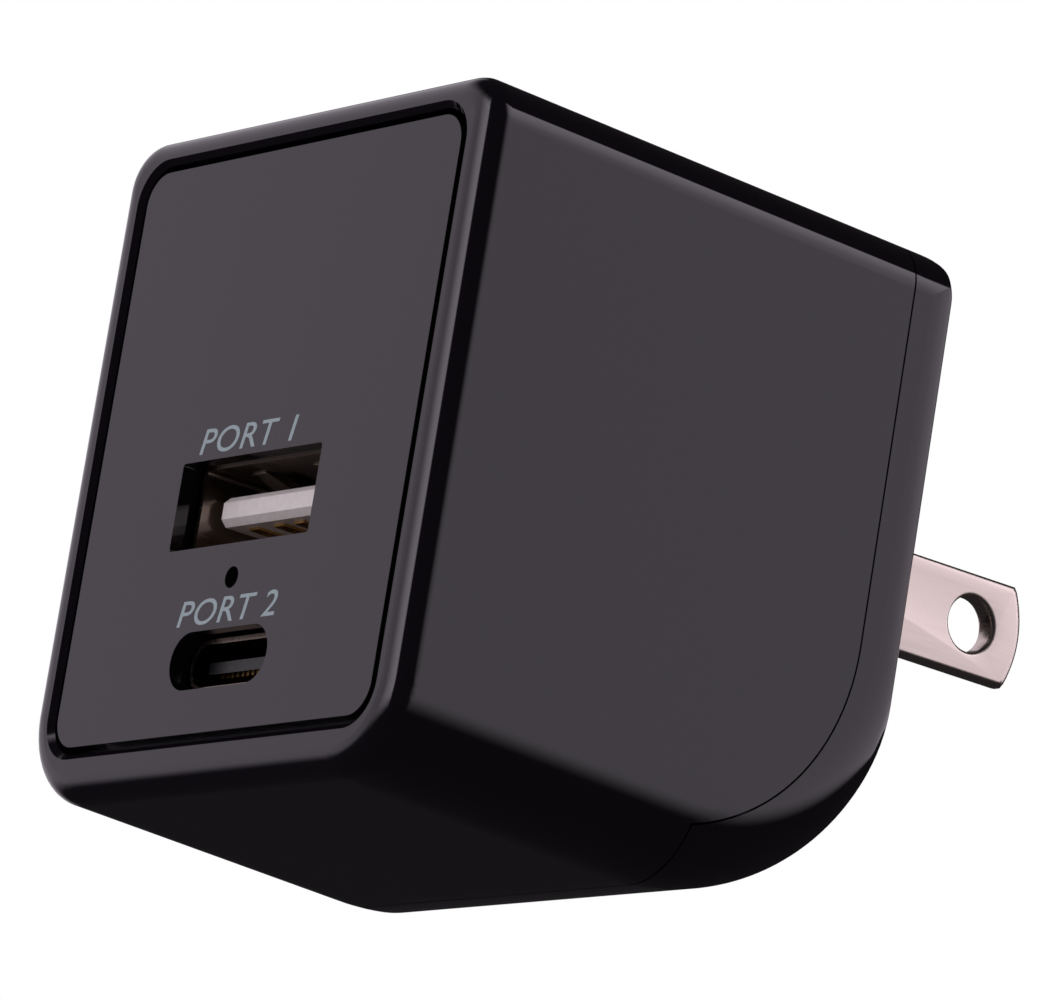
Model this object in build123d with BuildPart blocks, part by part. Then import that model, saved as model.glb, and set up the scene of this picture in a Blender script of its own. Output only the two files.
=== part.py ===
"""USB wall charger with two fixed blades and two ports.

Frame: millimetres, +Z up, the blades point along +Y into the wall socket.
The origin is the point of the wall face midway between the two blades.
"""
import os

from build123d import *

os.makedirs("parts", exist_ok=True)

# ---- casing ----
width = 36.8
front_y = -35.5
top_front_z = 19.2
top_back_z = 17.95
bottom_front_z = -21.85
bottom_slope = 0.054
lower_curve_radius = 13.6
top_corner_radius = 3.0
top_edge_radius = 3.0
bottom_edge_radius = 5.6
edge_taper_reach = 3.5
inner_edge_radius = 2.5
rear_edge_radius = 1.2
front_edge_radius = 1.5
wall = 2.0

# ---- seam between main housing and rear cover ----
seam_y = -3.4
seam_curve_radius = 13.6
seam_center_z = -6.7
seam_end_y = -13.2
seam_gap = 0.12
lip_gap = 0.1
lip_thickness = 1.2
lip_reach = 2.0

# ---- front frame and panel ----
panel_width = 31.4
panel_height = 35.4
panel_center_z = -0.87
panel_corner_radius = 1.9
panel_recess = 0.2
panel_gap = 0.45
panel_face_thickness = 1.3
cove_size = 0.35
flange_step = 0.6
flange_thickness = 1.2
flange_rib_width = 1.8

# ---- ports ----
port_a_z = -4.6
port_a_opening = (13.9, 5.35)
port_a_opening_radius = 0.2
port_a_shell_size = (13.1, 5.7)
port_a_wall = 0.3
port_a_tongue_size = (11.1, 1.8)
port_a_tongue_z = -4.3
port_c_z = -14.15
port_c_opening = (9.7, 3.5)
port_c_shell_size = (8.94, 3.16)
port_c_wall = 0.3
port_c_tongue_size = (6.7, 0.7)
light_z = -9.36
light_radius = 0.6
light_recess = 0.8

# ---- blades ----
blade_spacing = 12.7
blade_width = 6.35
blade_thickness = 1.5
blade_length = 17.6
blade_tail = 9.0
blade_tip_rise = 0.8
blade_tip_chamfer = 0.4
blade_hole_y = 13.5
blade_hole_radius = 1.7
blade_hole_chamfer = 0.2

# ---- boards ----
board_thickness = 1.2
board_bottom_z = -0.2
board_top_z = board_bottom_z + board_thickness
board_half_width = 15.6
board_front_y = -31.0
board_rear_y = -9.5
port_board_rear_y = -19.0
port_board_front_y = port_board_rear_y - board_thickness
port_board_bottom_z = -18.4
pin_radius = 0.3
pin_hole_radius = 0.45
pin_bottom_z = -1.0

half_width = width / 2
panel_face_y = front_y + panel_recess
top_slope = (top_front_z - top_back_z) / -front_y
slope_length = (1 + bottom_slope**2) ** 0.5
curve_end_y = -lower_curve_radius * (1 + bottom_slope / slope_length)
curve_end_z = bottom_front_z - bottom_slope * (curve_end_y - front_y)
curve_center_z = curve_end_z + lower_curve_radius / slope_length
seam_center_y = seam_y - seam_curve_radius
taper_curve_radius = (edge_taper_reach - curve_end_y) / (1 + bottom_slope / slope_length)


def save(builder, label):
    """Name a finished piece and write it to its own file."""
    builder.part.label = label
    export_step(builder.part, "parts/" + label + ".step")


def front_plane(y):
    """Plane facing the user at depth y, with X to the right and Z up."""
    return Plane(origin=(0, y, 0), x_dir=(1, 0, 0), z_dir=(0, -1, 0))


def depth_to(y_from, y_to):
    """Extrusion length on a front plane that runs from y_from to y_to."""
    return -(y_to - y_from)


def outline_points(inset):
    """Corners of the side outline, moved inwards by inset, before rounding."""
    top_front = (front_y + inset, top_front_z - inset - top_slope * inset)
    top_back = (-inset, top_back_z - inset + top_slope * inset)
    back_low = (-inset, curve_center_z)
    curve_low = (curve_end_y + inset * bottom_slope / slope_length, curve_end_z + inset / slope_length)
    bottom_front_rise = bottom_slope * (curve_low[0] - front_y - inset)
    bottom_front = (front_y + inset, curve_low[1] + bottom_front_rise)
    return top_front, top_back, back_low, curve_low, bottom_front


def side_outline(inset):
    """Closed side outline of the casing, moved inwards by inset."""
    top_front, top_back, back_low, curve_low, bottom_front = outline_points(inset)
    with BuildSketch() as sketch:
        with BuildLine():
            Polyline(bottom_front, top_front, top_back, back_low)
            RadiusArc(back_low, curve_low, lower_curve_radius - inset)
            Line(curve_low, bottom_front)
        make_face()
    return sketch.sketch


def seam_outline(forward):
    """Region in front of the seam, with the seam moved forward, larger than the casing elsewhere."""
    reach = 60
    radius = seam_curve_radius - forward
    end_y = seam_end_y - forward
    curve_start = (seam_y - forward, seam_center_z)
    curve_end = (end_y, seam_center_z - (radius**2 - (end_y - seam_center_y) ** 2) ** 0.5)
    with BuildSketch() as sketch:
        with BuildLine():
            Line((curve_start[0], reach), curve_start)
            RadiusArc(curve_start, curve_end, radius)
            Line(curve_end, (end_y, -reach))
            Polyline((end_y, -reach), (-reach, -reach), (-reach, reach), (curve_start[0], reach))
        make_face()
    return sketch.sketch


def block(x_range, y_range, z_range, mode=Mode.ADD):
    """Box between two limits on each axis, for the part being built."""
    sizes = [limits[1] - limits[0] for limits in (x_range, y_range, z_range)]
    middle = [(limits[1] + limits[0]) / 2 for limits in (x_range, y_range, z_range)]
    with Locations(tuple(middle)):
        Box(*sizes, mode=mode)


def centered(middle, size):
    """Limits of a span with this middle and size."""
    return middle - size / 2, middle + size / 2


def rod(x, z, y_range, radius, mode=Mode.ADD):
    """Round bar along Y, for the part being built."""
    with Locations((x, sum(y_range) / 2, z)):
        Cylinder(radius, y_range[1] - y_range[0], rotation=(90, 0, 0), mode=mode)


def post(x, y, z_range, radius, mode=Mode.ADD):
    """Round bar along Z, for the part being built."""
    with Locations((x, y, sum(z_range) / 2)):
        Cylinder(radius, z_range[1] - z_range[0], mode=mode)


def obround(size):
    """Slot shape with full round ends."""
    with BuildSketch() as sketch:
        SlotOverall(size[0], size[1])
    return sketch.sketch


def rounded(size, radius):
    """Rectangle with rounded corners."""
    with BuildSketch() as sketch:
        RectangleRounded(size[0], size[1], radius)
    return sketch.sketch


# ---- outer form of the closed casing ----
with BuildPart() as side_form:
    with BuildSketch(Plane.YZ.offset(-half_width)):
        add(side_outline(0))
    extrude(amount=width)
    top_back_edge = side_form.edges().filter_by(Axis.X).group_by(Axis.Y)[-1].sort_by(Axis.Z)[-1]
    fillet(top_back_edge, top_corner_radius)
    rear_edges = side_form.faces().filter_by(Axis.X).edges()
    rear_edges = rear_edges.filter_by(lambda edge: edge.center().Y > front_y + 1)
    fillet(rear_edges, rear_edge_radius)

# the big rounding of the lower long edges follows a wider curve, so it fades out towards the back
with BuildPart() as lower_form:
    with BuildSketch(Plane.YZ.offset(-half_width)):
        with BuildLine():
            low_front = (2 * front_y, bottom_front_z - bottom_slope * front_y)
            curve_start = (curve_end_y, curve_end_z)
            curve_end = (edge_taper_reach, curve_end_z + taper_curve_radius / slope_length)
            Line(low_front, curve_start)
            RadiusArc(curve_end, curve_start, taper_curve_radius)
            Polyline(curve_end, (edge_taper_reach, -2 * front_y), (2 * front_y, -2 * front_y), low_front)
        make_face()
    extrude(amount=width)
    side_edges = lower_form.faces().filter_by(Axis.X).edges()
    fillet(side_edges.filter_by(lambda edge: edge.center().Z < bottom_front_z + 1), bottom_edge_radius)

with BuildPart() as casing_form:
    with BuildSketch(Plane.YZ.offset(-half_width)):
        with BuildLine():
            top_line = [(front_y, top_front_z), (0, top_back_z)]
            Polyline(*top_line, (0, front_y), (front_y, front_y), close=True)
        make_face()
    extrude(amount=width)
    side_edges = casing_form.faces().filter_by(Axis.X).edges()
    fillet(side_edges.group_by(Axis.Z)[-1], top_edge_radius)
    add(lower_form.part, mode=Mode.INTERSECT)
    fillet(casing_form.faces().sort_by(Axis.Y)[0].edges(), front_edge_radius)
    add(side_form.part, mode=Mode.INTERSECT)


def inner_form(inset, edge_radius):
    """Solid that follows the casing at a distance inside it, with rounded long edges."""
    with BuildPart() as form:
        with BuildSketch(Plane.YZ.offset(inset - half_width)):
            add(side_outline(inset))
        extrude(amount=width - 2 * inset)
        long_edges = form.faces().filter_by(Axis.X).edges()
        fillet(long_edges.filter_by(lambda edge: edge.center().Y > front_y + inset + 1), edge_radius)
    return form.part


# ---- main housing: front and sides, open at the back and at the panel ----
opening_size = (panel_width + 2 * panel_gap, panel_height + 2 * panel_gap)
opening_radius = panel_corner_radius + panel_gap

with BuildPart() as main_housing:
    add(casing_form.part)
    with BuildSketch(Plane.YZ.offset(-half_width - 1)):
        add(seam_outline(seam_gap))
    extrude(amount=width + 2, mode=Mode.INTERSECT)
    add(inner_form(wall, inner_edge_radius), mode=Mode.SUBTRACT)
    with BuildSketch(front_plane(front_y)):
        with Locations((0, panel_center_z)):
            add(rounded(opening_size, opening_radius))
    extrude(amount=-wall - 1, mode=Mode.SUBTRACT)
    front_face = main_housing.faces().filter_by(Axis.Y).sort_by(Axis.Y)[0]
    chamfer(front_face.inner_wires()[0].edges(), cove_size)
save(main_housing, "main_housing")

# ---- rear cover: wall face and lower curve, with a locating lip ----
lip_outer = wall + lip_gap
lip_inner = lip_outer + lip_thickness
blade_centers = (-blade_spacing / 2, blade_spacing / 2)

with BuildPart() as lip_form:
    add(inner_form(lip_outer, inner_edge_radius - lip_gap))
    with BuildSketch(Plane.YZ.offset(-half_width)):
        add(seam_outline(lip_reach))
    extrude(amount=width, mode=Mode.SUBTRACT)

with BuildPart() as rear_cover:
    add(casing_form.part)
    with BuildSketch(Plane.YZ.offset(-half_width - 1)):
        add(seam_outline(0))
    extrude(amount=width + 2, mode=Mode.SUBTRACT)
    add(lip_form.part)
    add(inner_form(lip_inner, inner_edge_radius - lip_gap - lip_thickness), mode=Mode.SUBTRACT)
    for x in blade_centers:
        block(centered(x, blade_thickness), (-wall - 4, 1), centered(0, blade_width), Mode.SUBTRACT)
save(rear_cover, "rear_cover")

# ---- front panel with its port openings and rear flange ----
plate_rear_y = panel_face_y + panel_face_thickness
lip_rear_y = front_y + wall
flange_rear_y = lip_rear_y + flange_thickness
flange_size = (panel_width + 2 * flange_step, panel_height)
flange_center_z = panel_center_z - flange_step
pocket_size = (panel_width - 2 * flange_rib_width, panel_height - 2 * flange_rib_width)

with BuildPart() as front_panel:
    with BuildSketch(front_plane(panel_face_y)):
        with Locations((0, panel_center_z)):
            add(rounded((panel_width, panel_height), panel_corner_radius))
    extrude(amount=depth_to(panel_face_y, lip_rear_y))
    with BuildSketch(front_plane(lip_rear_y)):
        with Locations((0, flange_center_z)):
            add(rounded(flange_size, panel_corner_radius))
    extrude(amount=depth_to(lip_rear_y, flange_rear_y))
    with BuildSketch(front_plane(plate_rear_y)):
        with Locations((0, panel_center_z)):
            add(rounded(pocket_size, panel_corner_radius - 1))
    extrude(amount=depth_to(plate_rear_y, flange_rear_y), mode=Mode.SUBTRACT)
    with BuildSketch(front_plane(panel_face_y - 1)):
        with Locations((0, port_a_z)):
            add(rounded(port_a_opening, port_a_opening_radius))
        with Locations((0, port_c_z)):
            add(obround(port_c_opening))
        with Locations((0, light_z)):
            Circle(light_radius + 0.05)
    extrude(amount=depth_to(panel_face_y - 1, plate_rear_y), mode=Mode.SUBTRACT)
save(front_panel, "front_panel")

# ---- light pipe and indicator light ----
with BuildPart() as light_pipe:
    rod(0, light_z, (panel_face_y + light_recess, port_board_front_y - 0.8), light_radius)
    rod(0, light_z, (plate_rear_y, plate_rear_y + 0.8), 2 * light_radius)
save(light_pipe, "light_pipe")

with BuildPart() as indicator_light:
    block(centered(0, 1.6), (port_board_front_y - 0.6, port_board_front_y), centered(light_z, 0.8))
save(indicator_light, "indicator_light")

# ---- blades ----
for name, x in zip(("blade_left", "blade_right"), blade_centers):
    with BuildPart() as blade:
        with BuildSketch(Plane.YZ.offset(x - blade_thickness / 2)):
            with BuildLine():
                half = blade_width / 2
                shoulder = blade_length - blade_tip_rise
                Polyline((shoulder, half), (-blade_tail, half), (-blade_tail, -half), (shoulder, -half))
                ThreePointArc((shoulder, -half), (blade_length, 0), (shoulder, half))
            make_face()
            with Locations((blade_hole_y, 0)):
                Circle(blade_hole_radius, mode=Mode.SUBTRACT)
        extrude(amount=blade_thickness)
        tip_edges = blade.edges().filter_by(lambda edge: edge.center().Y > blade_length - 2)
        chamfer(tip_edges.filter_by(Plane.YZ), blade_tip_chamfer)
        hole_edges = blade.edges().filter_by(GeomType.CIRCLE)
        chamfer(hole_edges.filter_by(lambda edge: edge.radius < 2), blade_hole_chamfer)
    save(blade, name)

holder_rear_y = -lip_inner
holder_front_y = -6.8
with BuildPart() as blade_holder:
    block(centered(0, 22), (holder_front_y, holder_rear_y), centered(0, 11))
    fillet(blade_holder.edges().filter_by(Axis.Y), 1.5)
    for x in blade_centers:
        slot_depth = (holder_front_y - 1, holder_rear_y + 1)
        block(centered(x, blade_thickness), slot_depth, centered(0, blade_width), Mode.SUBTRACT)
save(blade_holder, "blade_holder")

# ---- contact springs from the blade tails to the board ----
spring_thickness = 0.3
for name, x in zip(("contact_spring_left", "contact_spring_right"), blade_centers):
    with BuildPart() as contact_spring:
        foot_y = (-11.6, -blade_tail)
        riser_y = (-blade_tail - spring_thickness, -blade_tail)
        block(centered(x, 2.0), foot_y, (board_top_z, board_top_z + spring_thickness))
        block(centered(x, 2.0), riser_y, (board_top_z, 4.2))
    save(contact_spring, name)

# ---- upper port: metal shell, tongue and contacts ----
shell_rear_y = port_board_front_y
port_a_inner = tuple(size - 2 * port_a_wall for size in port_a_shell_size)
port_a_body_y = -24.0
port_a_tongue_y = -33.0

with BuildPart() as port_a_shell:
    with BuildSketch(front_plane(plate_rear_y)):
        with Locations((0, port_a_z)):
            add(rounded(port_a_shell_size, 0.6))
            add(rounded(port_a_inner, 0.3), mode=Mode.SUBTRACT)
    extrude(amount=depth_to(plate_rear_y, shell_rear_y))
save(port_a_shell, "port_a_shell")

with BuildPart() as port_a_insulator:
    with BuildSketch(front_plane(port_a_body_y)):
        with Locations((0, port_a_z)):
            add(rounded(port_a_inner, 0.3))
    extrude(amount=depth_to(port_a_body_y, shell_rear_y))
    tongue_y = (port_a_tongue_y, port_a_body_y)
    block(centered(0, port_a_tongue_size[0]), tongue_y, centered(port_a_tongue_z, port_a_tongue_size[1]))
    tongue_front = port_a_insulator.faces().filter_by(Axis.Y).sort_by(Axis.Y)[0]
    chamfer(tongue_front.edges().filter_by(Axis.X), 0.4)
save(port_a_insulator, "port_a_insulator")

contact_thickness = 0.15
tongue_bottom_z = port_a_tongue_z - port_a_tongue_size[1] / 2
with BuildPart() as port_a_contacts:
    for x in (-3.5, -1.0, 1.0, 3.5):
        contact_y = (port_a_tongue_y + 1.0, port_a_body_y)
        block(centered(x, 1.0), contact_y, (tongue_bottom_z - contact_thickness, tongue_bottom_z))
save(port_a_contacts, "port_a_contacts")

# ---- lower port: obround shell, tongue and contacts ----
port_c_mouth_y = panel_face_y + 1.2
port_c_inner = tuple(size - 2 * port_c_wall for size in port_c_shell_size)
port_c_body_y = -28.0
port_c_tongue_y = port_c_mouth_y + 0.6

with BuildPart() as port_c_shell:
    with BuildSketch(front_plane(port_c_mouth_y)):
        with Locations((0, port_c_z)):
            add(obround(port_c_shell_size))
            add(obround(port_c_inner), mode=Mode.SUBTRACT)
    extrude(amount=depth_to(port_c_mouth_y, shell_rear_y))
save(port_c_shell, "port_c_shell")

with BuildPart() as port_c_tongue:
    with BuildSketch(front_plane(port_c_body_y)):
        with Locations((0, port_c_z)):
            add(obround(port_c_inner))
    extrude(amount=depth_to(port_c_body_y, shell_rear_y))
    tongue_y = (port_c_tongue_y, port_c_body_y)
    block(centered(0, port_c_tongue_size[0]), tongue_y, centered(port_c_z, port_c_tongue_size[1]))
save(port_c_tongue, "port_c_tongue")

pad_thickness = 0.1
half_tongue = port_c_tongue_size[1] / 2
with BuildPart() as port_c_contacts:
    for side in (-1, 1):
        pad_z = centered(port_c_z + side * (half_tongue + pad_thickness / 2), pad_thickness)
        for index in range(12):
            pad_y = (port_c_tongue_y + 0.6, port_c_body_y)
            block(centered(0.5 * (index - 5.5), 0.26), pad_y, pad_z)
save(port_c_contacts, "port_c_contacts")

# ---- transformer ----
transformer_x = -6.8
transformer_y = -22.0
transformer_z = 8.2
core_width = 17.0
core_half_length = 7.2
core_thickness = 6.0
core_leg = 2.6
core_center_leg = 5.0
window_depth = 5.2
core_z = transformer_z - core_thickness / 2

for name, side in (("transformer_core_front", -1), ("transformer_core_rear", 1)):
    with BuildPart() as core:
        with BuildSketch(Plane.XY.offset(core_z)):
            with Locations((transformer_x, transformer_y + side * core_half_length / 2)):
                Rectangle(core_width, core_half_length)
            window_width = (core_width - core_center_leg) / 2 - core_leg
            for window_side in (-1, 1):
                window_x = transformer_x + window_side * (core_center_leg + window_width) / 2
                with Locations((window_x, transformer_y + side * window_depth / 2)):
                    Rectangle(window_width, window_depth, mode=Mode.SUBTRACT)
        extrude(amount=core_thickness)
    save(core, name)


def winding_layer(inner_size, outer_size, length):
    """Rectangular tube around the transformer's middle leg."""
    with BuildPart() as layer:
        with BuildSketch(front_plane(transformer_y - length / 2)):
            with Locations((transformer_x, transformer_z)):
                add(rounded(outer_size, 0.9))
                add(rounded(inner_size, 0.6), mode=Mode.SUBTRACT)
        extrude(amount=-length)
    return layer


barrel_inner = (5.2, 6.2)
barrel_outer = (6.8, 7.8)
primary_outer = (9.2, 10.2)
secondary_outer = (10.6, 11.6)
tape_outer = (11.0, 12.0)
flange_outer = (11.4, 12.4)
bobbin_length = 2 * window_depth
bobbin_flange = 1.0
winding_length = bobbin_length - 2 * bobbin_flange
flange_bottom_z = transformer_z - flange_outer[1] / 2
transformer_pin_xs = [transformer_x + offset for offset in (-4.5, -1.5, 1.5, 4.5)]
transformer_pin_ys = [transformer_y + side * (bobbin_length - bobbin_flange) / 2 for side in (-1, 1)]

with BuildPart() as transformer_bobbin:
    for y in (transformer_y - bobbin_length / 2, transformer_y + bobbin_length / 2 - bobbin_flange):
        with BuildSketch(front_plane(y)):
            with Locations((transformer_x, transformer_z)):
                add(rounded(flange_outer, 0.6))
        extrude(amount=-bobbin_flange)
    with BuildSketch(front_plane(transformer_y - bobbin_length / 2)):
        with Locations((transformer_x, transformer_z)):
            add(rounded(barrel_outer, 0.6))
    extrude(amount=-bobbin_length)
    with BuildSketch(front_plane(transformer_y - bobbin_length / 2)):
        with Locations((transformer_x, transformer_z)):
            Rectangle(*barrel_inner)
    extrude(amount=-bobbin_length, mode=Mode.SUBTRACT)
save(transformer_bobbin, "transformer_bobbin")
save(winding_layer(barrel_outer, primary_outer, winding_length), "primary_winding")
save(winding_layer(primary_outer, secondary_outer, winding_length), "secondary_winding")
save(winding_layer(secondary_outer, tape_outer, winding_length), "transformer_tape")

with BuildPart() as transformer_pins:
    for x in transformer_pin_xs:
        for y in transformer_pin_ys:
            post(x, y, (pin_bottom_z, flange_bottom_z), pin_radius)
save(transformer_pins, "transformer_pins")

# ---- input capacitors ----
capacitor_x = 10.2
capacitor_ys = (-26.4, -15.6)
capacitor_radius = 4.8
sleeve_thickness = 0.2
bung_bottom_z = board_top_z + 0.4
can_bottom_z = bung_bottom_z + 0.8
can_top_z = 14.4
lead_offset = 2.5

for number, y in enumerate(capacitor_ys, start=1):
    with BuildPart() as can:
        post(capacitor_x, y, (can_bottom_z, can_top_z), capacitor_radius)
        fillet(can.edges().filter_by(GeomType.CIRCLE).sort_by(Axis.Z)[-1], 0.5)
        for angle in (0, 90):
            with Locations(Location((capacitor_x, y, can_top_z), (0, 0, angle))):
                Box(5.0, 0.3, 0.4, mode=Mode.SUBTRACT)
    save(can, f"input_capacitor_{number}_can")
    with BuildPart() as sleeve:
        post(capacitor_x, y, (bung_bottom_z, can_top_z - 0.5), capacitor_radius + sleeve_thickness)
        post(capacitor_x, y, (bung_bottom_z, can_top_z), capacitor_radius, Mode.SUBTRACT)
    save(sleeve, f"input_capacitor_{number}_sleeve")
    with BuildPart() as bung:
        post(capacitor_x, y, (bung_bottom_z, can_bottom_z), capacitor_radius)
    save(bung, f"input_capacitor_{number}_bung")
    with BuildPart() as leads:
        for side in (-1, 1):
            post(capacitor_x + side * lead_offset, y, (pin_bottom_z, bung_bottom_z), pin_radius)
    save(leads, f"input_capacitor_{number}_leads")

# ---- input parts at the rear of the main board ----
with BuildPart() as bridge_rectifier:
    block(centered(-11.0, 6.4), centered(-12.0, 4.2), (board_top_z + 0.2, board_top_z + 2.6))
    for x in (-12.6, -9.4):
        block(centered(x, 0.9), centered(-12.0, 4.8), (board_top_z, board_top_z + 0.9))
save(bridge_rectifier, "bridge_rectifier")

choke_x = -1.8
choke_y = -11.8
choke_radius = 2.8
with BuildPart() as input_choke_core:
    post(choke_x, choke_y, (board_top_z, board_top_z + 1.0), choke_radius)
    post(choke_x, choke_y, (board_top_z + 1.0, board_top_z + 7.0), 1.3)
    post(choke_x, choke_y, (board_top_z + 7.0, board_top_z + 8.0), choke_radius)
save(input_choke_core, "input_choke_core")

with BuildPart() as input_choke_winding:
    post(choke_x, choke_y, (board_top_z + 1.0, board_top_z + 7.0), choke_radius - 0.3)
    post(choke_x, choke_y, (board_top_z + 1.0, board_top_z + 7.0), 1.3, Mode.SUBTRACT)
save(input_choke_winding, "input_choke_winding")

fuse_x = 3.2
fuse_y = -12.6
with BuildPart() as fuse_resistor:
    post(fuse_x, fuse_y, (board_top_z + 1.0, board_top_z + 9.0), 1.4)
    fillet(fuse_resistor.edges().filter_by(GeomType.CIRCLE), 0.5)
    post(fuse_x, fuse_y, (pin_bottom_z, board_top_z + 1.0), pin_radius)
save(fuse_resistor, "fuse_resistor")

safety_x = 3.4
safety_y = -25.0
safety_z = board_top_z + 5.2
safety_radius = 3.6
with BuildPart() as safety_capacitor:
    with Locations((safety_x, safety_y, safety_z)):
        Cylinder(safety_radius, 2.4, rotation=(0, 90, 0))
    fillet(safety_capacitor.edges().filter_by(GeomType.CIRCLE), 0.8)
save(safety_capacitor, "safety_capacitor")

with BuildPart() as safety_capacitor_leads:
    for side in (-1, 1):
        post(safety_x, safety_y + side * lead_offset, (pin_bottom_z, safety_z), pin_radius)
    with Locations((safety_x, safety_y, safety_z)):
        Cylinder(safety_radius, 2.4, rotation=(0, 90, 0), mode=Mode.SUBTRACT)
save(safety_capacitor_leads, "safety_capacitor_leads")

# ---- chips under the main board and behind the port board ----
def gull_wing_chip(plane):
    """Small chip with four leads on each side, standing on a plane."""
    with BuildPart() as chip:
        with BuildSketch(plane.offset(0.1)):
            Rectangle(4.9, 3.9)
        extrude(amount=1.5)
        with BuildSketch(plane):
            with GridLocations(1.27, 1, 4, 1):
                Rectangle(0.4, 5.6)
        extrude(amount=0.6)
    return chip


under_main_board = Plane(origin=(-8.0, -13.55, board_bottom_z), x_dir=(1, 0, 0), z_dir=(0, 0, -1))
behind_port_board = Plane(origin=(-6.5, port_board_rear_y, -15.2), x_dir=(1, 0, 0), z_dir=(0, 1, 0))
save(gull_wing_chip(under_main_board), "primary_controller")
save(gull_wing_chip(behind_port_board), "output_rectifier")

with BuildPart() as port_controller:
    block(centered(-6.0, 4.0), (port_board_rear_y, port_board_rear_y + 0.9), centered(-9.0, 4.0))
save(port_controller, "port_controller")

# ---- output capacitors, lying along Y behind the port board ----
output_x = 4.5
output_zs = (-6.6, -14.0)
output_base_thickness = 1.0
output_end_y = -11.4
for number, z in enumerate(output_zs, start=1):
    with BuildPart() as base:
        base_y = (port_board_rear_y, port_board_rear_y + output_base_thickness)
        block(centered(output_x, 6.4), base_y, centered(z, 6.4))
        fillet(base.edges().filter_by(Axis.Y).sort_by(Axis.X)[:2], 1.2)
    save(base, f"output_capacitor_{number}_base")
    with BuildPart() as can:
        rod(output_x, z, (port_board_rear_y + output_base_thickness, output_end_y), 3.1)
        fillet(can.edges().filter_by(GeomType.CIRCLE), 0.4)
    save(can, f"output_capacitor_{number}_can")

# ---- small chip parts ----
with BuildPart() as chip_resistors:
    for x, y in ((-12.6, -14.0), (-12.6, -12.0), (-3.0, -13.0), (-3.0, -15.0), (0.2, -13.0), (0.2, -15.0)):
        block(centered(x, 1.6), centered(y, 0.8), (board_bottom_z - 0.5, board_bottom_z))
save(chip_resistors, "chip_resistors")

with BuildPart() as chip_capacitors:
    chip_y = (port_board_rear_y, port_board_rear_y + 0.8)
    for x, z in ((-10.5, -6.0), (-10.5, -8.5), (-10.5, -11.0), (-8.0, -4.6), (-6.0, -4.6), (-4.0, -4.6)):
        block(centered(x, 0.8), chip_y, centered(z, 1.6))
save(chip_capacitors, "chip_capacitors")

# ---- boards ----
link_pin_xs = [2.5 * (index - 2) for index in range(5)]
link_pin_size = 0.6
link_pin_y = port_board_rear_y + link_pin_size / 2
through_pins = [(x, y) for x in transformer_pin_xs for y in transformer_pin_ys]
through_pins += [(capacitor_x + side * lead_offset, y) for side in (-1, 1) for y in capacitor_ys]
through_pins += [(safety_x, safety_y + side * lead_offset) for side in (-1, 1)]
through_pins += [(fuse_x, fuse_y)]

with BuildPart() as main_board:
    block((-board_half_width, board_half_width), (board_front_y, board_rear_y), (board_bottom_z, board_top_z))
    fillet(main_board.edges().filter_by(Axis.Z), 1.0)
    for x, y in through_pins:
        post(x, y, (board_bottom_z - 1, board_top_z + 1), pin_hole_radius, Mode.SUBTRACT)
    for x in link_pin_xs:
        post(x, link_pin_y, (board_bottom_z - 1, board_top_z + 1), pin_hole_radius, Mode.SUBTRACT)
save(main_board, "main_board")

with BuildPart() as port_board:
    board_y = (port_board_front_y, port_board_rear_y)
    block(centered(0, 26), board_y, (port_board_bottom_z, board_bottom_z))
    fillet(port_board.edges().filter_by(Axis.Y), 1.0)
save(port_board, "port_board")

with BuildPart() as board_link_pins:
    for x in link_pin_xs:
        block(centered(x, link_pin_size), centered(link_pin_y, link_pin_size), (-2.9, board_top_z + 0.4))
save(board_link_pins, "board_link_pins")

with BuildPart() as insulating_barrier:
    block(centered(0, 26), (-10.7, -10.3), (-15.0, board_bottom_z))
save(insulating_barrier, "insulating_barrier")

with BuildPart() as thermal_pad:
    pad_top_z = top_front_z - wall - top_slope * (transformer_y + 5 - front_y) - 0.4
    pad_bottom_z = transformer_z + flange_outer[1] / 2
    block(centered(transformer_x, 10.0), centered(transformer_y, 9.0), (pad_bottom_z, pad_top_z))
    fillet(thermal_pad.edges().filter_by(Axis.Z), 1.0)
save(thermal_pad, "thermal_pad")

# ---- solder joints under the main board ----
solder_height = 0.6
with BuildPart() as solder_joints:
    for x, y in through_pins:
        with Locations((x, y, board_bottom_z - solder_height / 2)):
            Cone(0.35, 0.85, solder_height)
            Cylinder(pin_radius, solder_height + 1, mode=Mode.SUBTRACT)
save(solder_joints, "solder_joints")
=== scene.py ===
"""Looks for a compact wall charger with two fixed blades and two charging ports.

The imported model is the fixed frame. This file gives every part its finish, adds the blades'
softened metal, the port springs and the printed marks, and sets up a plain studio.
"""
import math

import bpy
from mathutils import Matrix, Vector


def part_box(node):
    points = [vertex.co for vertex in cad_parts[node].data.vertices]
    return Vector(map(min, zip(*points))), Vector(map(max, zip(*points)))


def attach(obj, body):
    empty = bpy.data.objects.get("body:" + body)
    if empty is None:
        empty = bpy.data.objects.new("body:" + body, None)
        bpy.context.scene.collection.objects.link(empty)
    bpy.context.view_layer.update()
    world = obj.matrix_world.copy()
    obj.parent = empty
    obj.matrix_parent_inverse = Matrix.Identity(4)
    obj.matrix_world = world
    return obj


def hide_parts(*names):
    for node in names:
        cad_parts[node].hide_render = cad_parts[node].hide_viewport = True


bl_info = {
    "name": "Wall Charger Looks",
    "version": (1, 0, 0),
    "blender": (4, 5, 0),
    "location": "View3D > Sidebar > Charger",
    "description": "Finishes, small parts, printed marks and studio for a wall charger",
    "category": "Object",
}

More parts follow.
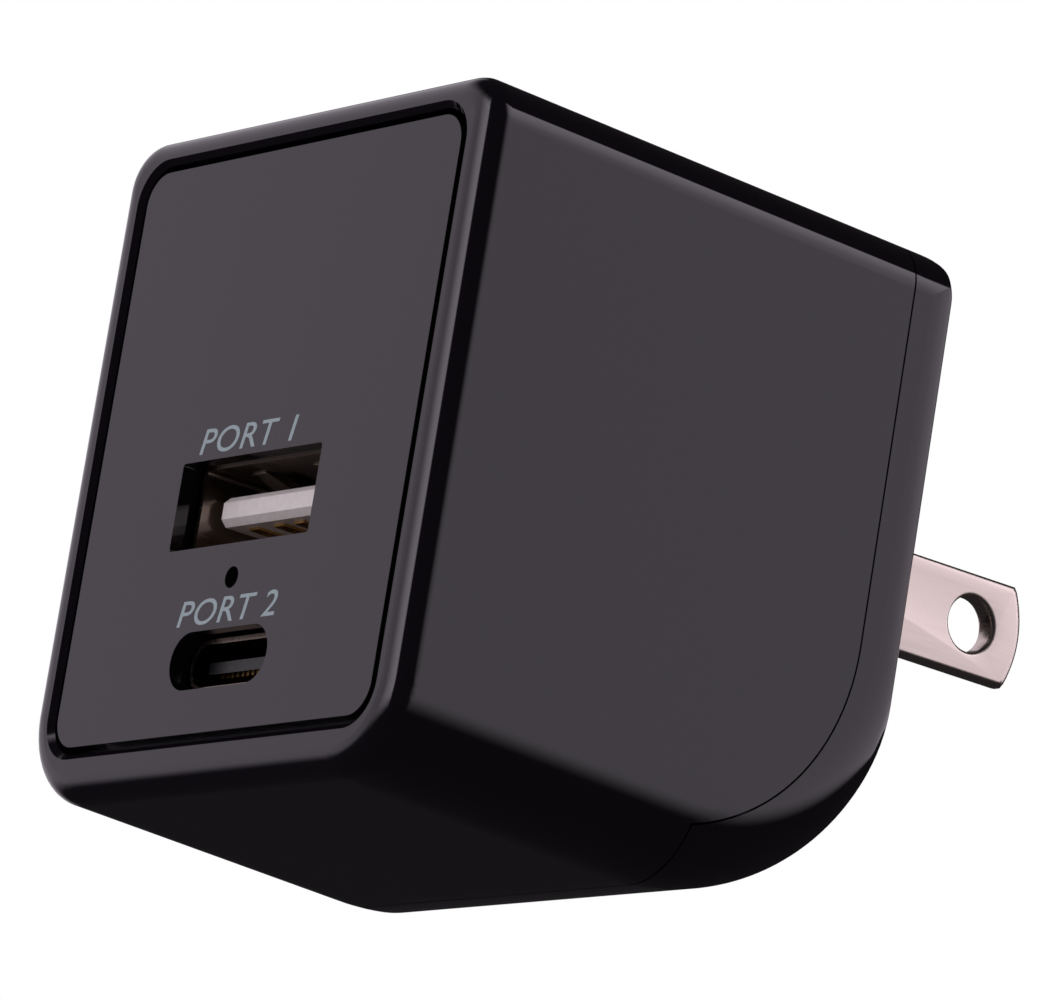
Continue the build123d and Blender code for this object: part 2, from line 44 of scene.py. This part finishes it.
MM = 0.001
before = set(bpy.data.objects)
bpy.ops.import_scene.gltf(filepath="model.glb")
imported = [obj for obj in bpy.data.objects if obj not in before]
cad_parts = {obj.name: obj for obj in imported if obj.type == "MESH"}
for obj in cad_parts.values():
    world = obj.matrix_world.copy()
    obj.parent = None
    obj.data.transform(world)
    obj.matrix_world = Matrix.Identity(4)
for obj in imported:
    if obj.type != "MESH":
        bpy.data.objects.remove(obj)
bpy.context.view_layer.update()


# ---------------------------------------------------------------- helpers
def linear(hex_colour):
    """Linear RGBA from an sRGB hex colour such as '#1a1a1c'."""
    digits = hex_colour.lstrip("#")
    channels = [int(digits[i:i + 2], 16) / 255 for i in (0, 2, 4)]
    curved = [c / 12.92 if c <= 0.04045 else ((c + 0.055) / 1.055) ** 2.4 for c in channels]
    return (*curved, 1.0)


def add_node(tree, kind, settings=None, inputs=None, links=None):
    """Add a shader node, set its properties and sockets, and link its inputs."""
    node = tree.nodes.new(kind)
    for key, value in (settings or {}).items():
        setattr(node, key, value)
    for key, value in (inputs or {}).items():
        node.inputs[key].default_value = value
    for key, socket in (links or {}).items():
        tree.links.new(socket, node.inputs[key])
    return node


def new_material(name, **surface):
    """Material with one Principled surface; returns it with its tree and surface node."""
    material = bpy.data.materials.new(name)
    material.use_nodes = True
    tree = material.node_tree
    shader = tree.nodes["Principled BSDF"]
    for key, value in surface.items():
        shader.inputs[key.replace("_", " ")].default_value = value
    return material, tree, shader


def per_mm(count):
    """Texture scale, in cycles a metre, from cycles a millimetre."""
    return count / MM


def speckle(tree, shader, scale, depth_mm, roughness=None, colours=None, detail=3.0, stretch=(1, 1, 1)):
    """Noise in object space that moves the surface, and its roughness or colour if given."""
    place = add_node(tree, "ShaderNodeTexCoord").outputs["Object"]
    spread = add_node(tree, "ShaderNodeMapping", None, {"Scale": stretch}, {"Vector": place})
    noise = add_node(
        tree, "ShaderNodeTexNoise", None, {"Scale": scale, "Detail": detail}, {"Vector": spread.outputs[0]}
    )
    height = noise.outputs["Fac"]
    if depth_mm:
        bump = add_node(
            tree, "ShaderNodeBump", None, {"Strength": 1.0, "Distance": depth_mm * MM}, {"Height": height}
        )
        tree.links.new(bump.outputs["Normal"], shader.inputs["Normal"])
    if roughness:
        low, high = roughness
        ramp = add_node(
            tree, "ShaderNodeMapRange", None,
            {"From Min": 0.3, "From Max": 0.7, "To Min": low, "To Max": high}, {"Value": height},
        )
        tree.links.new(ramp.outputs[0], shader.inputs["Roughness"])
    if colours:
        ramp = add_node(tree, "ShaderNodeValToRGB", None, None, {"Fac": height})
        ramp.color_ramp.elements[0].position = 0.35
        ramp.color_ramp.elements[1].position = 0.65
        for element, colour in zip(ramp.color_ramp.elements, colours):
            element.color = linear(colour)
        tree.links.new(ramp.outputs[0], shader.inputs["Base Color"])


def coat(node_names, material):
    """Give fixed parts one material in place of their packed one."""
    for name in node_names:
        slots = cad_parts[name].data.materials
        slots.clear()
        slots.append(material)


def deselect_all():
    """Leave nothing selected, in object mode."""
    if bpy.context.object and bpy.context.object.mode != "OBJECT":
        bpy.ops.object.mode_set(mode="OBJECT")
    bpy.ops.object.select_all(action="DESELECT")


def only(piece):
    """Make one object the selected and active one."""
    deselect_all()
    piece.select_set(True)
    bpy.context.view_layer.objects.active = piece


def settle(piece, name, material):
    """Apply the place of a finished piece, name it and make it ride with the charger."""
    only(piece)
    bpy.ops.object.transform_apply(location=True, rotation=True, scale=True)
    piece.name = name
    piece.data.name = name
    piece.data.materials.clear()
    piece.data.materials.append(material)
    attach(piece, "root")


def apply_modifier(piece, kind, **settings):
    """Add a modifier with its settings and apply it at once."""
    only(piece)
    bpy.ops.object.modifier_add(type=kind)
    modifier = piece.modifiers[-1]
    for key, value in settings.items():
        setattr(modifier, key, value)
    bpy.ops.object.modifier_apply(modifier=modifier.name)


def copy_piece(piece, name, shift):
    """Copy of a piece with its own mesh, moved by a distance."""
    twin = piece.copy()
    twin.data = piece.data.copy()
    twin.name = name
    bpy.context.collection.objects.link(twin)
    twin.location = shift
    return twin


# ---------------------------------------------------------------- finishes
def polished_polycarbonate(name, colour, roughness):
    """Black polycarbonate from a polished mould: deep, mirror-like, very faintly wavy."""
    material, tree, shader = new_material(name, Base_Color=linear(colour), Roughness=roughness, IOR=1.585)
    # sink waviness about 8 mm across, a few hundredths of a millimetre deep
    speckle(tree, shader, per_mm(0.12), 0.012, detail=1.0)
    return material


def satin_nickel():
    """Nickel plated brass, tumbled: a soft warm silver sheen with fine draw lines along the blade."""
    material, tree, shader = new_material(
        "satin_nickel_plate", Base_Color=linear("#e2d6cb"), Metallic=1.0, Roughness=0.3,
    )
    # draw lines every 0.25 mm, very shallow
    speckle(tree, shader, per_mm(4.0), 0.0006, roughness=(0.24, 0.32), detail=3.0, stretch=(1, 0.06, 1))
    return material


# name, colour, second colour, metallic, roughness, IOR, pattern size in mm, relief in mm, nodes:
# each row is one plain finish whose grain mixes two shades and a slightly uneven surface
PLAIN_FINISHES = (
    # natural nylon holder: milky, slightly waxy
    ("natural_nylon", "#cfc9ba", "#dbd6c9", 0.0, 0.5, 1.53, 0.8, 0.004, ("blade_holder",)),
    # white liquid crystal polymer: chalky white with faint flow marks
    ("white_port_polymer", "#f7f3ea", "#fffcf4", 0.0, 0.42, 1.6, 0.5, 0.004, ("port_a_insulator",)),
    # black liquid crystal polymer: dull, dense black
    ("black_port_polymer", "#030304", "#060607", 0.0, 0.3, 1.5, 0.4, 0.002, ("port_c_tongue",)),
    # hard gold flash over phosphor bronze: warm, slightly uneven
    ("gold_flash", "#d9ab5e", "#e8c27c", 1.0, 0.24, 1.5, 0.3, 0.001, (
        "port_a_contacts", "port_c_contacts", "contact_spring_left", "contact_spring_right")),
    # manganese zinc ferrite, ground: dark grey stone
    ("ground_ferrite", "#2c2c30", "#3b3b40", 0.0, 0.62, 2.0, 0.35, 0.01, (
        "transformer_core_front", "transformer_core_rear", "input_choke_core")),
    # phenolic bobbin: dull near-black
    ("phenolic_bobbin", "#1b1a1a", "#262424", 0.0, 0.5, 1.6, 0.5, 0.004, ("transformer_bobbin",)),
    # polyester tape: glossy yellow film over wire
    ("polyester_tape", "#cdb235", "#e0c748", 0.0, 0.28, 1.64, 1.2, 0.01, ("transformer_tape",)),
    # tinned copper pins: bright grey metal, softly frosted
    ("tinned_copper", "#c3c3c5", "#d6d6d8", 1.0, 0.32, 1.5, 0.3, 0.002, (
        "transformer_pins", "input_capacitor_1_leads", "input_capacitor_2_leads", "board_link_pins",
        "safety_capacitor_leads")),
    # tin solder: bright, slightly grainy fillets
    ("tin_solder", "#b9babd", "#d2d3d6", 1.0, 0.26, 1.5, 0.25, 0.006, ("solder_joints",)),
    # drawn aluminium can: pale metal with fine vertical draw marks
    ("drawn_aluminium", "#d2d3d6", "#e2e3e6", 1.0, 0.26, 1.5, 0.2, 0.001, (
        "input_capacitor_1_can", "input_capacitor_2_can", "output_capacitor_1_can",
        "output_capacitor_2_can")),
    # heat shrink sleeve: dark, slightly rippled gloss
    ("shrink_sleeve", "#14161f", "#1c1f2b", 0.0, 0.3, 1.52, 0.9, 0.01, (
        "input_capacitor_1_sleeve", "input_capacitor_2_sleeve")),
    # butyl bung: matt black rubber
    ("butyl_rubber", "#151515", "#202020", 0.0, 0.8, 1.52, 0.3, 0.008, (
        "input_capacitor_1_bung", "input_capacitor_2_bung")),
    # moulded epoxy packages: charcoal with a fine glass filler
    ("moulded_epoxy", "#1d1d1f", "#2a2a2c", 0.0, 0.6, 1.55, 0.12, 0.006, (
        "bridge_rectifier", "primary_controller", "output_rectifier", "port_controller")),
    # resistor lacquer: smooth pale blue
    ("resistor_lacquer", "#5f86a8", "#6f97b9", 0.0, 0.35, 1.5, 0.5, 0.006, ("fuse_resistor",)),
    # dipped epoxy: glossy saturated blue with soft runs
    ("dipped_epoxy", "#1f4f9c", "#2a5fae", 0.0, 0.2, 1.55, 1.5, 0.03, ("safety_capacitor",)),
    # black moulded capacitor bases
    ("moulded_base", "#141414", "#1f1f1f", 0.0, 0.55, 1.55, 0.3, 0.004, (
        "output_capacitor_1_base", "output_capacitor_2_base")),
    # sintered ceramic chips: tan, eggshell
    ("sintered_ceramic", "#a88762", "#b9976f", 0.0, 0.5, 1.8, 0.15, 0.003, ("chip_capacitors",)),
    # thick film resistor chips: black overglaze
    ("resistor_glaze", "#18181b", "#232327", 0.0, 0.3, 1.6, 0.2, 0.002, ("chip_resistors",)),
    # white polyester barrier: slightly translucent film
    ("barrier_film", "#e4e4e0", "#eeeeea", 0.0, 0.4, 1.64, 2.0, 0.01, ("insulating_barrier",)),
    # silicone gap pad: dull grey blue, soft
    ("silicone_pad", "#8b97a8", "#9aa6b6", 0.0, 0.85, 1.41, 0.4, 0.01, ("thermal_pad",)),
    # phosphor chip of the lamp: pale yellow
    ("lamp_phosphor", "#e6d98a", "#f0e6a4", 0.0, 0.5, 1.5, 0.3, 0.002, ("indicator_light",)),
)


def plain_finishes():
    """Make every plain finish and give it to its parts."""
    for name, first, second, metal, roughness, ior, size, relief, nodes in PLAIN_FINISHES:
        material, tree, shader = new_material(name, Metallic=metal, IOR=ior)
        spread = (roughness * 0.85, min(1.0, roughness * 1.15))
        speckle(tree, shader, per_mm(1 / size), relief, roughness=spread, colours=(first, second))
        coat(nodes, material)


def wound_wire(name, colours, pitch, roughness, metal):
    """Turns of round wire side by side: ridges one wire apart, with painted shade making the wire darker
    between turns.
    """
    material, tree, shader = new_material(name, Metallic=metal, Roughness=roughness)
    place = add_node(tree, "ShaderNodeTexCoord").outputs["Object"]
    axis = "Z" if "choke" in name else "Y"
    # a wave texture repeats every 2 pi / 20 units at scale 1
    turns = add_node(
        tree, "ShaderNodeTexWave", {"bands_direction": axis}, {"Scale": per_mm(1 / pitch) * math.pi / 10},
        {"Vector": place},
    )
    bump = add_node(
        tree, "ShaderNodeBump", None, {"Strength": 1.0, "Distance": pitch * 0.4 * MM},
        {"Height": turns.outputs["Fac"]},
    )
    tree.links.new(bump.outputs["Normal"], shader.inputs["Normal"])
    # painted shade: the first colour darkens the hollows between turns, the second is the wire on the
    # ridges
    ramp = add_node(tree, "ShaderNodeValToRGB", None, None, {"Fac": turns.outputs["Fac"]})
    for element, colour in zip(ramp.color_ramp.elements, colours):
        element.color = linear(colour)
    tree.links.new(ramp.outputs[0], shader.inputs["Base Color"])
    return material


def solder_mask():
    """Green solder mask over copper tracks: satin gloss, tracks a shade lighter."""
    material, tree, shader = new_material("green_solder_mask", Roughness=0.28, IOR=1.55)
    place = add_node(tree, "ShaderNodeTexCoord").outputs["Object"]
    # tracks about 1.6 mm apart
    tracks = add_node(
        tree, "ShaderNodeTexBrick", {"offset": 0.35},
        {"Scale": per_mm(0.16), "Mortar Size": 0.08, "Mortar": linear("#123f22"),
         "Color1": linear("#1c5a32"), "Color2": linear("#206238")},
        {"Vector": place},
    )
    tree.links.new(tracks.outputs["Color"], shader.inputs["Base Color"])
    bump = add_node(
        tree, "ShaderNodeBump", {"invert": True}, {"Strength": 1.0, "Distance": 0.03 * MM},
        {"Height": tracks.outputs["Fac"]},
    )
    tree.links.new(bump.outputs["Normal"], shader.inputs["Normal"])
    return material


def port_steel():
    """Nickel plated spring steel: bright, rolled, with faint lines along the port."""
    material, tree, shader = new_material(
        "plated_port_steel", Base_Color=linear("#8d8074"), Metallic=1.0, Roughness=0.2,
    )
    speckle(tree, shader, per_mm(5.0), 0.001, roughness=(0.16, 0.28), detail=2.0, stretch=(1, 0.08, 1))
    return material


def smoked_light_pipe():
    """Smoked clear polycarbonate: looks black until its lamp is on, with a polished end."""
    material, tree, shader = new_material(
        "smoked_light_pipe", Base_Color=linear("#08080a"), Roughness=0.35, IOR=1.585,
    )
    speckle(tree, shader, per_mm(2.0), 0.004)
    return material


def pad_ink():
    """Pad printed ink: pale blue grey, matt, with slightly uneven cover."""
    material, tree, shader = new_material("pad_printed_ink", IOR=1.5)
    speckle(tree, shader, per_mm(6.0), 0.0, roughness=(0.45, 0.6), colours=("#a3b8b8", "#b0c4c4"))
    return material


# ---------------------------------------------------------------- settings
def length(name, description, millimetres):
    """Length property with its default in millimetres."""
    return bpy.props.FloatProperty(
        name=name, description=description, default=millimetres * MM, subtype="DISTANCE", unit="LENGTH",
    )


class StudioSettings(bpy.types.PropertyGroup):
    """Camera direction, distance, aim, lens and floor height."""

    azimuth: bpy.props.FloatProperty(
        name="Azimuth", description="Camera direction round the charger, from the ports towards +X",
        default=math.radians(54.48), unit="ROTATION",
    )
    elevation: bpy.props.FloatProperty(
        name="Elevation", description="Camera height angle, negative from below",
        default=math.radians(-13.07), unit="ROTATION",
    )
    roll: bpy.props.FloatProperty(
        name="Roll", description="Camera turn about its own axis",
        default=math.radians(9.21), unit="ROTATION",
    )
    distance: length("Distance", "Camera to aim point", 497.5)
    aim: bpy.props.FloatVectorProperty(
        name="Aim", description="Point the camera looks at", default=(-0.00677, -0.01052, 0.00258),
        subtype="TRANSLATION", unit="LENGTH",
    )
    lens: bpy.props.FloatProperty(
        name="Lens", description="Focal length of the camera", default=280.5, unit="CAMERA",
    )
    floor_drop: length("Floor drop", "Height of the charger above the floor", 220)


class MarkSettings(bpy.types.PropertyGroup):
    """Printed marks beside the ports."""

    upper_text: bpy.props.StringProperty(
        name="Upper mark", description="Word above the upper port", default="PORT 1",
    )
    lower_text: bpy.props.StringProperty(
        name="Lower mark", description="Word above the lower port", default="PORT 2",
    )
    letter_size: length("Letter size", "Size of the letters' body", 2.2)
    letter_width: bpy.props.FloatProperty(
        name="Letter width", description="Widening of the letters", default=1.32,
    )
    slant: bpy.props.FloatProperty(name="Slant", description="Shear of the letters", default=0.2)
    upper_x: length("Upper mark X", "Middle of the upper mark, to the right", -0.7)
    upper_z: length("Upper mark Z", "Middle of the upper mark, upwards", -0.85)
    lower_x: length("Lower mark X", "Middle of the lower mark, to the right", 0.0)
    lower_z: length("Lower mark Z", "Middle of the lower mark, upwards", -11.35)
    ink: length("Ink", "Half the thickness of the ink", 0.006)
    sink: length("Sink", "How far the ink's middle lies above the panel's face", 0.004)


class SpringSettings(bpy.types.PropertyGroup):
    """Spring fingers in the upper port."""

    reach: length("Reach", "Length of a finger", 5.0)
    breadth: length("Breadth", "Width of a finger at its root", 2.2)
    thickness: length("Thickness", "Thickness of a finger", 0.15)
    bulge: length("Bulge", "How far a finger bows into the port", 0.55)
    lift: length("Lift", "How far its ends stand off the shell", 0.02)
    edge: length("Edge", "Softening of a finger's edges", 0.04)
    shell_wall: length("Shell wall", "Thickness of the port's shell", 0.3)
    mouth: length("Mouth", "Distance from the shell's front to a finger", 1.4)
    spread: length("Spread", "Distance of the fingers from the port's middle", 3.2)


class BladeSettings(bpy.types.PropertyGroup):
    """Shape of the blades' softened edges."""

    hole_radius: length("Hole radius", "Radius of the hole in each blade", 1.7)
    hole_place: length("Hole place", "Hole middle from the wall face", 13.5)
    tip_rise: length("Tip rise", "How far the middle of the tip stands out", 0.8)
    edge: length("Edge", "Width of the coined edge", 0.3)
    tip_edge: length("Tip edge", "Width of the coined edge at the tip", 0.6)


# ---------------------------------------------------------------- pieces
def round_edges(piece, choose, width, segments):
    """Round the edges for which choose gives a radius above 0, by a weighted bevel."""
    weights = piece.data.attributes.new("bevel_weight_edge", "FLOAT", "EDGE")
    corners = [vertex.co.copy() for vertex in piece.data.vertices]
    for edge, weight in zip(piece.data.edges, weights.data):
        weight.value = choose(*(corners[i] for i in edge.vertices)) / width
    apply_modifier(
        piece, "BEVEL", width=width, segments=segments, limit_method="WEIGHT", use_clamp_overlap=False,
    )
    left_over = piece.data.attributes.get("bevel_weight_edge")
    if left_over:
        piece.data.attributes.remove(left_over)


def same(first, second):
    """True if two lengths agree to a micrometre."""
    return abs(first - second) < 1e-6


def merge_flat(piece):
    """Join touching corners and merge faces that lie in one plane."""
    only(piece)
    bpy.ops.object.mode_set(mode="EDIT")
    bpy.ops.mesh.select_all(action="SELECT")
    bpy.ops.mesh.remove_doubles(threshold=3e-6)
    bpy.ops.mesh.dissolve_limited(angle_limit=math.radians(0.1))
    bpy.ops.object.mode_set(mode="OBJECT")


def cut_away(piece, cutter):
    """Take one solid out of another; the cutter is then removed."""
    apply_modifier(piece, "BOOLEAN", object=cutter, operation="DIFFERENCE", solver="EXACT")
    bpy.data.objects.remove(cutter)


class CHARGER_OT_finishes(bpy.types.Operator):
    """Give every part of the charger its material"""

    bl_idname = "charger.finishes"
    bl_label = "Finishes"

    def execute(self, context):
        plain_finishes()
        coat(("main_housing", "rear_cover"), polished_polycarbonate("polished_casing", "#141116", 0.06))
        coat(("front_panel",), polished_polycarbonate("polished_panel", "#151317", 0.08))
        # each winding's first colour is painted shade for the hollows between its turns
        coat(("primary_winding",), wound_wire("enamelled_copper", ("#5a2c14", "#b4683a"), 0.3, 0.3, 0.8))
        coat(("secondary_winding",), wound_wire("insulated_wire", ("#a67c16", "#e0b52e"), 0.6, 0.35, 0.0))
        coat(("input_choke_winding",), wound_wire("choke_copper", ("#5a2c14", "#b4683a"), 0.35, 0.3, 0.8))
        coat(("main_board", "port_board"), solder_mask())
        coat(("port_a_shell", "port_c_shell"), port_steel())
        coat(("light_pipe",), smoked_light_pipe())
        return {"FINISHED"}


class CHARGER_OT_blades(bpy.types.Operator):
    """Model the two contact blades with coined edges and a rounded hole"""

    bl_idname = "charger.blades"
    bl_label = "Blades"

    def execute(self, context):
        settings = context.scene.charger_blades
        material = satin_nickel()
        low, high = (Vector(corner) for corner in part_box("blade_right"))
        blade = make_blade(settings, low, high)
        left_low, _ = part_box("blade_left")
        twin = copy_piece(blade, "left", (left_low[0] - low[0], 0, 0))
        for piece, side in ((blade, "right"), (twin, "left")):
            settle(piece, "contact_blade_" + side, material)
            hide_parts("blade_" + side)
        return {"FINISHED"}


def make_blade(settings, low, high):
    """One flat blade: bowed tip, round hole, and a narrow soft edge all round."""
    size = high - low
    middle = (low + high) / 2
    deselect_all()
    bpy.ops.mesh.primitive_grid_add(x_subdivisions=24, y_subdivisions=1, size=1)
    blade = bpy.context.object
    half = size.z / 2
    bow = (half**2 + settings.tip_rise**2) / (2 * settings.tip_rise)
    for vertex in blade.data.vertices:
        across = vertex.co.x * size.z
        drop = bow - math.sqrt(bow**2 - across**2)
        along = high.y - drop if vertex.co.y > 0 else low.y
        vertex.co = (middle.x, along, middle.z + across)
    apply_modifier(blade, "SOLIDIFY", thickness=size.x, offset=0)
    bpy.ops.mesh.primitive_cylinder_add(
        vertices=64, radius=settings.hole_radius, depth=size.x * 3,
        location=(middle.x, settings.hole_place, middle.z), rotation=(0, math.pi / 2, 0),
    )
    cut_away(blade, bpy.context.object)
    merge_flat(blade)
    outer_face = size.x / 2

    def edge_radius(a, b):
        if not same(abs(a.x - middle.x), outer_face) or not same(a.x, b.x):
            return 0.0
        if min(a.y, b.y) > high.y - settings.tip_rise - 0.1 * MM:
            return settings.tip_edge
        long_side = min(abs(a.z - middle.z), abs(b.z - middle.z)) > half - 0.01 * MM
        hole = Vector((a.x, settings.hole_place, middle.z))
        round_hole = max((a - hole).length, (b - hole).length) < settings.hole_radius + 0.01 * MM
        return settings.edge if long_side or round_hole else 0.0

    round_edges(blade, edge_radius, settings.tip_edge, 4)
    only(blade)
    bpy.ops.object.shade_smooth_by_angle(angle=math.radians(35))
    return blade


class CHARGER_OT_marks(bpy.types.Operator):
    """Print the plain words above the ports"""

    bl_idname = "charger.marks"
    bl_label = "Printed marks"

    def execute(self, context):
        settings = context.scene.charger_marks
        material = pad_ink()
        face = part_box("front_panel")[0][1]
        for name, text, x, z in (
            ("upper_mark", settings.upper_text, settings.upper_x, settings.upper_z),
            ("lower_mark", settings.lower_text, settings.lower_x, settings.lower_z),
        ):
            deselect_all()
            bpy.ops.object.text_add()
            words = bpy.context.object
            words.data.body = text
            words.data.size = settings.letter_size
            words.data.shear = settings.slant
            words.data.space_character = 1.05
            words.data.offset = 0.01 * MM
            words.data.align_x = "CENTER"
            words.data.align_y = "CENTER"
            words.data.extrude = settings.ink
            words.data.resolution_u = 6
            bpy.ops.object.convert(target="MESH")
            words = bpy.context.object
            words.rotation_euler = (math.pi / 2, 0, 0)
            words.scale = (settings.letter_width, 1, 1)
            words.location = (x, face - settings.sink, z)
            settle(words, name, material)
        return {"FINISHED"}


class CHARGER_OT_port_springs(bpy.types.Operator):
    """Form the spring fingers inside the upper port's shell"""

    bl_idname = "charger.port_springs"
    bl_label = "Port springs"

    def execute(self, context):
        settings = context.scene.charger_springs
        material = port_steel()
        low, high = (Vector(corner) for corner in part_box("port_a_shell"))
        number = 0
        for side, edge in ((1, high.z - settings.shell_wall), (-1, low.z + settings.shell_wall)):
            for x in (-settings.spread, settings.spread):
                number += 1
                finger = make_finger(settings, low.y + settings.mouth, edge, side)
                finger.location = (x, 0, 0)
                settle(finger, f"port_spring_{number}", material)
        return {"FINISHED"}


def make_finger(settings, mouth, edge, side):
    """Bowed leaf spring that starts flush with the shell and bulges into the port."""
    deselect_all()
    bpy.ops.mesh.primitive_grid_add(x_subdivisions=4, y_subdivisions=16, size=1)
    finger = bpy.context.object
    finger.scale = (settings.breadth, settings.reach, 1)
    bpy.ops.object.transform_apply(location=False, rotation=False, scale=True)
    for vertex in finger.data.vertices:
        along = vertex.co.y / settings.reach + 0.5
        bow = settings.bulge * math.sin(math.pi * along) ** 1.5
        # a quarter narrower at the mouth
        vertex.co.x *= 1 - 0.25 * (1 - along)
        vertex.co.y += mouth + settings.reach / 2
        vertex.co.z = edge - side * (bow + settings.lift)
    apply_modifier(finger, "SOLIDIFY", thickness=settings.thickness, offset=0)
    apply_modifier(finger, "BEVEL", width=settings.edge, segments=2, limit_method="ANGLE")
    only(finger)
    bpy.ops.object.shade_smooth_by_angle(angle=math.radians(40))
    return finger


# ---------------------------------------------------------------- studio
class CHARGER_OT_studio(bpy.types.Operator):
    """Set up the camera, floor, backdrop and light"""

    bl_idname = "charger.studio"
    bl_label = "Studio"

    def execute(self, context):
        settings = context.scene.charger_studio
        context.scene.view_settings.view_transform = "Standard"
        make_camera(settings)
        make_world(context.scene)
        make_floor(settings)
        return {"FINISHED"}


def make_camera(settings):
    """Camera at its azimuth, elevation, roll and distance from the aim point."""
    a, e = settings.azimuth, settings.elevation
    back = Vector((math.sin(a) * math.cos(e), -math.cos(a) * math.cos(e), math.sin(e)))
    aim = Vector(settings.aim)
    bpy.ops.object.camera_add()
    camera = bpy.context.object
    camera.name = "studio_camera"
    turn = back.to_track_quat("Z", "Y").to_matrix() @ Matrix.Rotation(settings.roll, 3, "Z")
    camera.matrix_world = Matrix.Translation(aim + back * settings.distance) @ turn.to_4x4()
    camera.data.lens = settings.lens
    camera.data.clip_start = 0.05
    camera.data.clip_end = 10.0
    bpy.context.scene.camera = camera


def make_world(scene):
    """White backdrop for the camera; for reflections, two large soft boxes in a dark room."""
    world = bpy.data.worlds.new("studio_room")
    scene.world = world
    world.use_nodes = True
    tree = world.node_tree
    tree.nodes.clear()
    direction = add_node(tree, "ShaderNodeTexCoord").outputs["Generated"]
    parts = add_node(tree, "ShaderNodeSeparateXYZ", None, None, {0: direction})
    # angles round the upright axis, from the front box's middle, and over the charger from its right
    angles = {}
    for axis, upright, middle in (("Z", "Y", math.radians(-137)), ("Y", "Z", 0.0)):
        turned = add_node(
            tree, "ShaderNodeVectorRotate", {"rotation_type": axis + "_AXIS"}, {"Angle": -middle},
            {"Vector": direction},
        )
        sides = add_node(tree, "ShaderNodeSeparateXYZ", None, None, {0: turned.outputs[0]})
        angles[axis] = add_node(
            tree, "ShaderNodeMath", {"operation": "ARCTAN2"}, None,
            {0: sides.outputs[upright], 1: sides.outputs["X"]},
        ).outputs[0]
    # the front box wraps round the front and the left, stronger where only ports and edges see it;
    # the side box stands from low on the right to high above it and is brightest at its top edge
    # each row is an eased change: of what, where it starts and ends, the values before and after
    boxes = (
        (
            (angles["Z"], -1.26, -1.16, 0.0, 1.0), (angles["Z"], 1.16, 1.26, 1.0, 0.0),
            (parts.outputs["Z"], -0.35, 0.0, 0.0, 1.0), (parts.outputs["Z"], 0.6, 0.85, 1.0, 0.0),
            (angles["Z"], 0.35, 1.1, 0.72, 2.4),
        ),
        (
            (angles["Y"], -0.55, -0.1, 0.0, 0.9), (angles["Y"], 0.945, 0.975, 1.0, 0.0),
            (parts.outputs["Y"], 0.1, 0.5, 0.0, 1.0), (angles["Y"], 0.3, 0.96, 1.0, 2.0),
        ),
    )
    total = None
    for fades in boxes:
        box = None
        for source, start, end, low, high in fades:
            fade = add_node(
                tree, "ShaderNodeMapRange", {"interpolation_type": "SMOOTHSTEP"},
                {"From Min": start, "From Max": end, "To Min": low, "To Max": high}, {"Value": source},
            ).outputs[0]
            box = fade if box is None else add_node(
                tree, "ShaderNodeMath", {"operation": "MULTIPLY"}, None, {0: box, 1: fade}
            ).outputs[0]
        # the first box is added to the faint light of the room, the second to both
        total = add_node(
            tree, "ShaderNodeMath", {"operation": "ADD"}, {1: 0.02},
            {0: box} if total is None else {0: box, 1: total},
        ).outputs[0]
    room = add_node(
        tree, "ShaderNodeBackground", None, {"Color": linear("#fcf1ff")}, {"Strength": total}
    )
    seen = add_node(tree, "ShaderNodeBackground", None, {"Color": (1, 1, 1, 1), "Strength": 1.0})
    path = add_node(tree, "ShaderNodeLightPath")
    mix = add_node(
        tree, "ShaderNodeMixShader", None, None,
        {0: path.outputs["Is Camera Ray"], 1: room.outputs[0], 2: seen.outputs[0]},
    )
    add_node(tree, "ShaderNodeOutputWorld", None, None, {"Surface": mix.outputs[0]})


def make_floor(settings):
    """Pale floor well below the charger, which hangs as if plugged into a wall."""
    deselect_all()
    bpy.ops.mesh.primitive_circle_add(
        vertices=96, radius=0.8, fill_type="NGON", location=(0, 0, -settings.floor_drop)
    )
    floor = bpy.context.object
    floor.name = "studio_floor"
    floor.visible_glossy = False
    material, tree, shader = new_material("pale_paint", Roughness=0.8)
    speckle(tree, shader, 60.0, 0.0, colours=("#efeeec", "#f3f2f0"))
    floor.data.materials.append(material)


class CHARGER_PT_panel(bpy.types.Panel):
    """Buttons and settings for the charger"""

    bl_label = "Charger"
    bl_idname = "CHARGER_PT_panel"
    bl_space_type = "VIEW_3D"
    bl_region_type = "UI"
    bl_category = "Charger"

    def draw(self, context):
        for group in SETTINGS:
            settings = getattr(context.scene, group)
            box = self.layout.box()
            for key in settings.__annotations__:
                box.prop(settings, key)
        for operator in OPERATORS:
            self.layout.operator(operator.bl_idname)


OPERATORS = (
    CHARGER_OT_studio, CHARGER_OT_finishes, CHARGER_OT_blades, CHARGER_OT_port_springs, CHARGER_OT_marks,
)
SETTINGS = {
    "charger_studio": StudioSettings, "charger_marks": MarkSettings, "charger_blades": BladeSettings,
    "charger_springs": SpringSettings,
}
CLASSES = (*SETTINGS.values(), *OPERATORS, CHARGER_PT_panel)


def register():
    """Register every class and the settings."""
    for cls in CLASSES:
        bpy.utils.register_class(cls)
    for group, cls in SETTINGS.items():
        setattr(bpy.types.Scene, group, bpy.props.PointerProperty(type=cls))


def unregister():
    """Remove the settings and the classes."""
    for group in SETTINGS:
        delattr(bpy.types.Scene, group)
    for cls in reversed(CLASSES):
        bpy.utils.unregister_class(cls)


def main():
    """Run every operator in order."""
    register()
    bpy.ops.charger.studio()
    bpy.ops.charger.finishes()
    bpy.ops.charger.blades()
    bpy.ops.charger.port_springs()
    bpy.ops.charger.marks()


if __name__ == "__main__":
    main()
